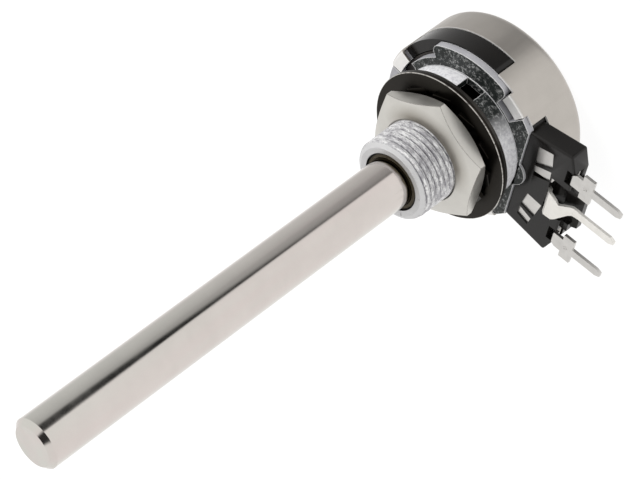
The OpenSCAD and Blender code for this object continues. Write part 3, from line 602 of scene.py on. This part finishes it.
# The front edge of the rim is painted pale in patches: a painted highlight.
rim = node(black_oxide, "ShaderNodeMapRange",
           {"Value": reach, "From Min": 9.17 * mm, "From Max": 9.2 * mm}).outputs[0]
height = node(black_oxide, "ShaderNodeSeparateXYZ", {"Vector": place}).outputs["Z"]
edge = node(black_oxide, "ShaderNodeMapRange",
            {"Value": height, "From Min": 11.88 * mm, "From Max": 11.93 * mm}).outputs[0]
edge = node(black_oxide, "ShaderNodeMath", {0: edge, 1: rim}, operation="MULTIPLY").outputs[0]
patchy = node(black_oxide, "ShaderNodeMapRange",
              {"Value": patch_noise, "From Min": 0.3, "From Max": 0.5}).outputs[0]
painted_highlight = node(black_oxide, "ShaderNodeMath", {0: edge, 1: patchy}, operation="MULTIPLY").outputs[0]
cloud = node(black_oxide, "ShaderNodeTexNoise",
             {"Vector": place, "Scale": 200, "Detail": 3}).outputs["Fac"]
black = node(black_oxide, "ShaderNodeMix", {0: cloud, 6: srgb("#1d1b19"), 7: srgb("#36332f")},
             data_type="RGBA").outputs[2]
tone = node(black_oxide, "ShaderNodeMix", {0: painted_highlight, 6: black, 7: srgb("#d2cfca")},
            data_type="RGBA").outputs[2]
coat(black_oxide, {"Base Color": tone, "Metallic": 1, "Roughness": 0.35}, (patch_noise, 0.3, 0.01))
give(ring, black_oxide, "housing", "tooth_washer")


# Flat washer
# A plain punched washer in dull steel, which takes the twist of the nut off the casting.
flat = turned("flat_ring", [(5.15, drum_front), (9.1, drum_front),
                            (9.1, ring_back), (5.15, ring_back)])
soften(flat, 0.08)

# Dull rolled steel: dark grey metal, with rolling marks too fine to show as more than a haze.
dull_steel = empty_material("dull_rolled_steel")
place = node(dull_steel, "ShaderNodeTexCoord").outputs["Object"]
haze = node(dull_steel, "ShaderNodeTexNoise",
            {"Vector": place, "Scale": 1100, "Detail": 5, "Roughness": 0.65}).outputs["Fac"]
tone = node(dull_steel, "ShaderNodeMix", {0: haze, 6: srgb("#2b2a29"), 7: srgb("#55524f")},
            data_type="RGBA").outputs[2]
coat(dull_steel, {"Base Color": tone, "Metallic": 1, "Roughness": 0.4}, (haze, 0.3, 0.01))
give(flat, dull_steel, "housing", "flat_washer")


# Cover
# A cup deep-drawn from thin steel sheet, with wide cut-outs in its skirt and four tabs folded over
# the flange. The drawing leaves soft bands round it and up its side.
def bend(centre_r, centre_z, radius, start, end, count):
    """Points along a bend of the sheet, from one angle to another."""
    turns = [math.radians(start + (end - start) * i / count) for i in range(count + 1)]
    return [(centre_r + radius * math.cos(t), centre_z + radius * math.sin(t)) for t in turns]


# The wall's section runs out along the back, round its edge, up the skirt and in over the flange,
# then back along the inside, one sheet thinner.
back_centre, back_round, lip_centre, lip_height, lip_end = 9.7, 1.4, 10.7, 7.9, 9.5
wall = (
    [(0, 0)] + bend(back_centre, back_round, back_round, -90, 0, 10)
    + bend(lip_centre, lip_height, 0.4, 0, 90, 6) + [(lip_end, 8.3), (lip_end, 8)]
    + bend(lip_centre, lip_height, 0.1, 90, 0, 2)
    + bend(back_centre, back_round, 1.1, 0, -90, 8) + [(0, 0.3)]
)
cover = turned("cover_cup", wall, steps=180)

# The skirt is cut away over the block and wide on both sides. What the cuts leave of the lip is
# the four tabs.
block_cut, wide_cut, lip_cut = 5.35, 4.75, 7.65
cuts = [(227.1, 312.9, block_cut), (270, 319.55, lip_cut), (220.45, 271, lip_cut)]
cuts += [(start, end, wide_cut) for start, end in both(-12, 65.75)]
cuts += [(start, end, lip_cut) for start, end in both(-24.95, 0)]
cuts += [(81.25, 98.75, lip_cut)]
for start, end, height in cuts:
    carve(cover, arc_block(9.2, 12.2, start, end, height, 9))
soften(cover, 0.06, 2, 35)

# Tinned deep-drawn steel: satin warm grey, clouded by handling, with upright drawing marks on the
# skirt, drawn coarser than they are, 1 mm wide, so that they show. Faces turned to the front, the
# folded tabs' fronts among them, are painted paler and less metallic, a painted highlight.
drawn_steel = empty_material("tinned_deep_drawn_steel")
place = node(drawn_steel, "ShaderNodeTexCoord").outputs["Object"]
cloud = node(drawn_steel, "ShaderNodeTexNoise",
             {"Vector": place, "Scale": 190, "Detail": 5, "Roughness": 0.6}).outputs["Fac"]
upright = node(drawn_steel, "ShaderNodeMapping", {"Vector": place, "Scale": (1, 1, 0.08)})
marks = node(drawn_steel, "ShaderNodeTexNoise",
             {"Vector": upright.outputs[0], "Scale": 900, "Detail": 4,
              "Roughness": 0.6}).outputs["Fac"]
satin = node(drawn_steel, "ShaderNodeMix", {0: cloud, 6: srgb("#b1ada7"), 7: srgb("#c8c3bd")},
             data_type="RGBA").outputs[2]
true_normal = node(drawn_steel, "ShaderNodeNewGeometry").outputs["Normal"]
facing = node(drawn_steel, "ShaderNodeSeparateXYZ", {"Vector": true_normal}).outputs["Z"]
# Faces turned to the front are painted paler: a painted highlight.
painted_front_highlight = node(drawn_steel, "ShaderNodeMapRange",
              {"Value": facing, "From Min": 0.5, "From Max": 0.9}).outputs[0]
tone = node(drawn_steel, "ShaderNodeMix", {0: painted_front_highlight, 6: satin, 7: srgb("#e8e7e5")},
            data_type="RGBA").outputs[2]
metal = node(drawn_steel, "ShaderNodeMapRange", {"Value": painted_front_highlight, "To Min": 1, "To Max": 0.6})
rough = node(drawn_steel, "ShaderNodeMapRange",
             {"Value": marks, "From Min": 0.3, "From Max": 0.7, "To Min": 0.3, "To Max": 0.42})
coat(drawn_steel, {"Base Color": tone, "Metallic": metal.outputs[0], "Roughness": rough.outputs[0]},
     (marks, 0.3, 0.02))
give(cover, drawn_steel, "housing", "cover")


# Moulding
# Ring and terminal block are one black phenolic moulding. The ring lines the cover, and thicker
# shoulders of it fill the wide cut-outs. The block's front wall has four slanted windows over the
# end terminals, a recess for the middle one, and a wedge between its wings.
ring_bore, ring_radius, ring_top = 9.6, 10.75, 7.38
ring = turned("moulding", [(ring_bore, 0.32), (9.67, 0.32), (ring_radius, 1.4),
                           (ring_radius, ring_top), (ring_bore, ring_top)])
for start, end in both(-11.25, 65):
    carve(ring, arc_block(10.4, 10.97, start, end, 4.8, ring_top), "UNION")

# From the block are cut room for the flange, the wafer and the wiper, the middle terminal's
# recess and a notch over each outer pin.
block_low, block_top, block_end = 5.4, 8, -15
body = punched("terminal_block", [
    (-6.9, -7.6), (-6.9, flange_cut), (-7.9, -14.1), (-5.7, block_end), (5.7, block_end),
    (7.9, -14.1), (6.9, flange_cut), (6.9, -7.6)], block_low, block_top)
soften(body, 0.22, 4)
carve(body, block((-9, -8.4, ring_top), (9, 0, 9)))
carve(body, turned("tool", [(0, 5), (9.7, 5), (9.7, ring_top), (0, ring_top)]))
carve(body, block((-2.1, -16, 6.8), (3, -12.4, 9)))
for side in (1, -1):
    near, far = sorted((3.83 * side, 5.73 * side))
    carve(body, block((near, -16, 6.3), (far, -14, 9)))

# Each window is opened a little round its middle. A wedge between two ribs stands out of the
# front, between the wings.
window_growth = 1.13
windows = [
    [(5.75, -9.95), (6.18, -11.71), (4.33, -12.09), (3.41, -10.16)],
    [(2.89, -10.16), (3.55, -12.1), (2.22, -12.2), (1.56, -10.3)],
    [(-1.85, -10.3), (-2.05, -12.15), (-4.2, -11.66), (-3.82, -9.92)],
    [(-4.39, -9.85), (-4.96, -11.42), (-5.99, -11.18), (-5.55, -9.8)],
]
for outline in windows:
    x, y = [sum(corner[i] for corner in outline) / 4 for i in (0, 1)]
    wide = [(x + window_growth * (a - x), y + window_growth * (b - y)) for a, b in outline]
    carve(body, punched("tool", wide, 7, 9))
wedge = punched("wedge", [(-14.4, block_low), (-16.4, block_low), (-16.4, 6.2), (-14.4, 7.1)],
                -3.5, 3.5, "X")
carve(body, wedge, "UNION")
for low, high in ((2.6, 3.7), (-3.7, -2.6)):
    carve(body, block((low, -15.8, block_low), (high, -14.4, 7.25)), "UNION")
soften(body, 0.05)
carve(ring, body, "UNION")
bpy.ops.object.shade_smooth_by_angle(angle=math.radians(30))

# Phenolic moulding compound: brown-black with a low gloss and a faint grain of its filler.
phenolic_black = empty_material("black_phenolic_moulding")
place = node(phenolic_black, "ShaderNodeTexCoord").outputs["Object"]
filler = node(phenolic_black, "ShaderNodeTexNoise",
              {"Vector": place, "Scale": 3000, "Detail": 4, "Roughness": 0.6}).outputs["Fac"]
cloud = node(phenolic_black, "ShaderNodeTexNoise",
             {"Vector": place, "Scale": 300, "Detail": 3}).outputs["Fac"]
tone = node(phenolic_black, "ShaderNodeMix", {0: cloud, 6: srgb("#0b0a0a"), 7: srgb("#151311")},
            data_type="RGBA").outputs[2]
coat(phenolic_black, {"Base Color": tone, "Roughness": 0.21, "IOR": 1.38}, (filler, 0.3, 0.01))
give(ring, phenolic_black, "housing", "moulded_base")


# Terminals
# Three terminals stamped from brass sheet. The outer two are tin plated and have shoulders that
# stop them on a board. The middle one is tinned too, its tin painted paler, painted light; it comes
# out of the block's front and is folded back down to its pin.
def folded(name, stations, thickness, edge=0.05):
    """A strip of sheet led through stations of Y, Z, left X and right X in mm."""
    rims = []
    for i, (y, z, left, right) in enumerate(stations):
        ways = []
        before, after = stations[max(i - 1, 0)], stations[min(i + 1, len(stations) - 1)]
        for a, b in (before, stations[i]), (stations[i], after):
            length = math.hypot(b[0] - a[0], b[1] - a[1])
            if length:
                ways.append(((b[1] - a[1]) / length, (a[0] - b[0]) / length))
        (p, q), (r, t) = ways[0], ways[-1]
        half = thickness / 2 / (1 + p * r + q * t)
        dy, dz = (p + r) * half, (q + t) * half
        rims.append([(left, y - dy, z - dz), (right, y - dy, z - dz),
                     (left, y + dy, z + dz), (right, y + dy, z + dz)])
    bpy.ops.object.select_all(action="DESELECT")
    bpy.ops.mesh.primitive_plane_add(size=mm)
    piece = bpy.context.object
    piece.name = name
    ends = list(piece.data.vertices)
    for count, rim in enumerate(rims):
        if count:
            bpy.ops.object.mode_set(mode="EDIT")
            bpy.ops.mesh.extrude_region_move()
            bpy.ops.object.mode_set(mode="OBJECT")
            was = [[v * mm for v in corner] for corner in rims[count - 1]]
            chosen = [v for v in piece.data.vertices if v.select]
            ends = [min(chosen, key=lambda v: math.dist(v.co, corner)) for corner in was]
        for point, corner in zip(ends, rim):
            point.co = [v * mm for v in corner]
    bpy.ops.object.mode_set(mode="EDIT")
    bpy.ops.mesh.select_all(action="SELECT")
    bpy.ops.mesh.normals_make_consistent(inside=False)
    bpy.ops.object.mode_set(mode="OBJECT")
    soften(piece, edge, 2, 25)
    return piece


# Tin plating on stamped brass: pale soft-gloss grey, dimpled by the press, duller where touched.
tin_plate = empty_material("tin_plated_brass")
place = node(tin_plate, "ShaderNodeTexCoord").outputs["Object"]
cloud = node(tin_plate, "ShaderNodeTexNoise",
             {"Vector": place, "Scale": 900, "Detail": 5, "Roughness": 0.6}).outputs["Fac"]
tone = node(tin_plate, "ShaderNodeMix", {0: cloud, 6: srgb("#bdbcb9"), 7: srgb("#e0dedb")},
            data_type="RGBA").outputs[2]
coat(tin_plate, {"Base Color": tone, "Metallic": 1, "Roughness": 0.33}, (cloud, 0.35, 0.02))

# The outer pins with their shoulders and a dimple, and the strips that lead to them under the
# windows and down in the notches.
pin_pitch, pin_low, pin_high, strip_thickness = 5.08, 7.7, 8.1, 0.4
pin_outline = [
    (6.03, -15.75), (6.03, -16.2), (6.83, -16.2), (6.83, -17.7), (5.58, -17.7), (5.58, -21.2),
    (5.35, -21.8), (4.81, -21.8), (4.58, -21.2), (4.58, -17.7), (3.33, -17.7), (3.33, -16.2),
    (4.13, -16.2), (4.13, -15.75)]
strip = [(-8.45, 7.6, 1.7, 5.9), (-12.5, 7.6, 2.1, 6.3), (-13.2, 7.3, 4.13, 5.66),
         (-13.6, 6.6, 4.13, 5.66), (-14.6, 6.6, 4.13, 5.66), (-14.75, 6.9, 4.85, 5.3),
         (-14.8, 7.7, 4.85, 5.3), (-14.95, 7.9, 4.13, 5.68), (-15.3, 7.9, 4.13, 6.03),
         (-15.8, 7.9, 4.13, 6.03)]
for side, name in ((1, "right"), (-1, "left")):
    pin = punched("pin", [(x * side, y) for x, y in pin_outline], pin_low, pin_high)
    bpy.ops.mesh.primitive_uv_sphere_add(
        segments=24, ring_count=12, radius=0.35 * mm,
        location=(pin_pitch * side * mm, -16.75 * mm, 8.33 * mm))
    ball = bpy.context.object
    bpy.ops.object.transform_apply(location=True, rotation=True, scale=True)
    carve(pin, ball)
    soften(pin, 0.07)
    terminal = folded("terminal_strip_" + name, [
        (y, z, *sorted((a * side, b * side))) for y, z, a, b in strip], strip_thickness)
    pin.select_set(True)
    bpy.ops.object.join()
    give(terminal, tin_plate, "housing", "terminal_" + name)

middle = folded("terminal_fold", [
    (-8.45, 7.6, -1.2, 1.2), (-12.4, 7.6, -1.2, 1.2), (-12.7, 7.75, -1.25, 1.25),
    (-13.05, 8.5, -1.75, 1.7), (-13.25, 8.65, -1.85, 1.75), (-14.2, 8.6, -1.85, 1.2),
    (-14.5, 8.5, -1.6, 0.75), (-15.5, 7.6, -0.75, 0.65), (-15.9, 7.35, -0.6, 0.6),
    (-16.4, 7.3, -0.55, 0.55), (-16.8, 7.3, -0.5, 0.5), (-21.2, 7.3, -0.5, 0.5),
    (-21.8, 7.3, -0.2, 0.2)], strip_thickness)

# Tin on the middle terminal, painted paler and cream white, painted light, and a little lumpy.
paler_tin = empty_material("tin_painted_paler")
place = node(paler_tin, "ShaderNodeTexCoord").outputs["Object"]
lumps = node(paler_tin, "ShaderNodeTexNoise",
             {"Vector": place, "Scale": 1300, "Detail": 5, "Roughness": 0.65}).outputs["Fac"]
tone = node(paler_tin, "ShaderNodeMix", {0: lumps, 6: srgb("#dbd9d3"), 7: srgb("#f2f0ec")},
            data_type="RGBA").outputs[2]
coat(paler_tin, {"Base Color": tone, "Metallic": 0.75, "Roughness": 0.4}, (lumps, 0.5, 0.04))
give(middle, paler_tin, "housing", "terminal_centre")


# Inner pieces
# Wafer, track, rotor and the rings under the drum keep their own solids. They show only through
# the slots, and get plain but real materials.
inner = {"retaining_clip": dull_steel, "thrust_washer": dull_steel, "dished_washer": dull_steel}
for name, scale, detail, dark_tone, pale_tone, values, solids in (
    # Phenolic paper board: brown-black, with its fibres just seen.
    ("dark_phenolic_paper", 1500, 5, "#140f0c", "#1f1813", {"Roughness": 0.45}, ["track_wafer"]),
    # Printed carbon ink: grey-black with a fine speckle.
    ("printed_carbon_ink", 4000, 3, "#151515", "#2a2a2a", {"Roughness": 0.4}, ["carbon_track"]),
    # Moulded acetal in its own colour: milky, with faint marks of the flow.
    ("natural_acetal", 300, 3, "#ddd5c2", "#ece6d6", {"Roughness": 0.4}, ["rotor"]),
    # Bare rolled brass: yellow and slightly tarnished.
    ("bare_rolled_brass", 900, 4, "#b08d45", "#d8b768", {"Metallic": 1, "Roughness": 0.3},
     ["collector_ring", "rivet_left", "rivet_centre", "rivet_right", "wiper_spring"]),
):
    material = empty_material(name)
    place = node(material, "ShaderNodeTexCoord").outputs["Object"]
    cloud = node(material, "ShaderNodeTexNoise",
                 {"Vector": place, "Scale": scale, "Detail": detail}).outputs["Fac"]
    tone = node(material, "ShaderNodeMix", {0: cloud, 6: srgb(dark_tone), 7: srgb(pale_tone)},
                data_type="RGBA").outputs[2]
    coat(material, {"Base Color": tone, **values})
    inner.update(dict.fromkeys(solids, material))
for name, material in inner.items():
    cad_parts[name].data.materials.clear()
    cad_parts[name].data.materials.append(material)


# Studio
# A pale floor, a white tent of light with a leaning dark slit for the shaft to mirror and a dark
# round place for its chamfer, and two soft lamps. The camera stands where the photograph was taken.
bpy.ops.mesh.primitive_circle_add(vertices=96, radius=1.5, fill_type="NGON",
                                  location=(0, 0, -0.02 * mm))
floor = bpy.context.object
floor.name = "floor"
floor.visible_glossy = floor.visible_diffuse = floor.visible_shadow = False
paper = empty_material("white_paper_floor")
sheen = node(paper, "ShaderNodeBsdfDiffuse", {"Color": (0.9, 0.9, 0.9, 1)})
glow = node(paper, "ShaderNodeEmission", {"Color": (1, 1, 1, 1), "Strength": 1.1})
seen = node(paper, "ShaderNodeLightPath").outputs["Is Camera Ray"]
share = node(paper, "ShaderNodeMath", {0: seen, 1: 0.8}, operation="MULTIPLY").outputs[0]
mixed = node(paper, "ShaderNodeMixShader", {0: share, 1: sheen.outputs[0], 2: glow.outputs[0]})
node(paper, "ShaderNodeOutputMaterial", {"Surface": mixed.outputs[0]})
floor.data.materials.append(paper)

tent = bpy.data.worlds.new("light_tent")
tent.use_nodes = True
tent.node_tree.nodes.clear()
bpy.context.scene.world = tent
looking = node(tent, "ShaderNodeTexCoord").outputs["Generated"]
axes = node(tent, "ShaderNodeSeparateXYZ", {"Vector": looking})
across = node(tent, "ShaderNodeMath", {0: axes.outputs["Y"], 1: axes.outputs["X"]},
              operation="ARCTAN2").outputs[0]
angle = node(tent, "ShaderNodeMath", {0: across}, operation="DEGREES").outputs[0]
whole = node(tent, "ShaderNodeMapRange",
             {"Value": angle, "From Min": -180, "From Max": 180}).outputs[0]
walls = node(tent, "ShaderNodeValToRGB", {"Fac": whole})

# How bright the tent's walls are, by direction in degrees. They show below the horizon, and more
# strongly further down; above it the tent is evenly white.
stops = ((-180, 1.0), (-60, 0.97), (-2, 0.97), (5, 0.42), (36, 0.5), (48, 0.6), (75, 0.69),
         (108, 0.74), (122, 0.9), (134, 1.0), (180, 1.0))
while len(walls.color_ramp.elements) < len(stops):
    walls.color_ramp.elements.new(0.5)
for stop, (place, value) in zip(walls.color_ramp.elements, stops):
    stop.position = (place + 180) / 360
    stop.color = (value, value, value, 1)
level = axes.outputs["Z"]
below = node(tent, "ShaderNodeMapRange", {"Value": level, "From Min": -0.2, "From Max": -0.35},
             interpolation_type="SMOOTHSTEP").outputs[0]
deeper = node(tent, "ShaderNodeMapRange", {"Value": level, "From Min": -0.5, "From Max": -0.62,
                                           "To Min": 0, "To Max": 0.35}).outputs[0]
below = node(tent, "ShaderNodeMath", {0: below, 1: deeper}, operation="ADD").outputs[0]
bright = node(tent, "ShaderNodeMix", {0: below, 2: 0.95, 3: walls.outputs["Color"]},
              clamp_factor=False).outputs[0]

# The slit lies between two leaning edges, each given in degrees at two levels.
edge_at = node(tent, "ShaderNodeMapRange",
               {"Value": level, "From Min": -0.559, "From Max": -0.438,
                "To Min": 3, "To Max": 30}).outputs[0]
past = node(tent, "ShaderNodeMath", {0: angle, 1: edge_at}, operation="SUBTRACT").outputs[0]
start_at = node(tent, "ShaderNodeMapRange",
                {"Value": level, "From Min": -0.49, "From Max": -0.42,
                 "To Min": 4, "To Max": -6}).outputs[0]
begun = node(tent, "ShaderNodeMath", {0: angle, 1: start_at}, operation="SUBTRACT").outputs[0]
slit = [
    node(tent, "ShaderNodeMapRange", {"Value": value, "From Min": low, "From Max": high}).outputs[0]
    for value, low, high in ((begun, -2, 2), (past, 4, -5), (level, -0.36, -0.4))
]
dark = node(tent, "ShaderNodeMath", {0: slit[0], 1: slit[1]}, operation="MULTIPLY").outputs[0]
dark = node(tent, "ShaderNodeMath", {0: dark, 1: slit[2]}, operation="MULTIPLY").outputs[0]
overhead = node(tent, "ShaderNodeVectorMath", {0: looking, 1: (0.422, -0.206, 0.883)},
                operation="DOT_PRODUCT").outputs["Value"]
round_place = node(tent, "ShaderNodeMapRange",
                   {"Value": overhead, "From Min": 0.93, "From Max": 0.975}).outputs[0]
dark = node(tent, "ShaderNodeMath", {0: dark, 1: round_place}, operation="MAXIMUM").outputs[0]
share = node(tent, "ShaderNodeMapRange", {"Value": dark, "To Min": 1, "To Max": 0.03}).outputs[0]
bright = node(tent, "ShaderNodeMath", {0: bright, 1: share}, operation="MULTIPLY").outputs[0]
tent_light = node(tent, "ShaderNodeBackground", {"Color": (1, 0.99, 0.98, 1), "Strength": bright})
backdrop = node(tent, "ShaderNodeBackground", {"Color": (1, 1, 1, 1), "Strength": 1})
seen = node(tent, "ShaderNodeLightPath").outputs["Is Camera Ray"]
mixed = node(tent, "ShaderNodeMixShader",
             {0: seen, 1: tent_light.outputs[0], 2: backdrop.outputs[0]})
node(tent, "ShaderNodeOutputWorld", {"Surface": mixed.outputs[0]})

for name, place, size, power in (
    ("key_lamp", (0.28, 0.4, 0.2), 0.25, 2.2),
    ("fill_lamp", (0.15, -0.42, 0.3), 0.3, 0.8),
):
    bpy.ops.object.light_add(type="AREA", location=place)
    lamp = bpy.context.object
    lamp.name = name
    lamp.data.size = size
    lamp.data.energy = power
    lamp.visible_glossy = False
    way = (-lamp.location).to_track_quat("-Z", "Y")
    lamp.rotation_euler = way.to_euler()

# The camera's place, axes and lens were fitted to the photograph's circles and straight edges.
bpy.ops.object.camera_add(location=(0.22172, -0.10125, 0.18531))
camera = bpy.context.object
camera.name = "camera"
right, up = (0.1438, -0.7192, -0.6798), (0.6212, 0.6003, -0.5037)
back = (0.7703, -0.3499, 0.5331)
turn = camera.matrix_world.to_3x3()
for row in range(3):
    turn[row] = (right[row], up[row], back[row])
camera.rotation_euler = turn.to_euler()
camera.data.lens = 151.875
camera.data.sensor_width = 36
camera.data.clip_start = 0.01
bpy.context.scene.camera = camera
bpy.context.scene.view_settings.view_transform = "Standard"
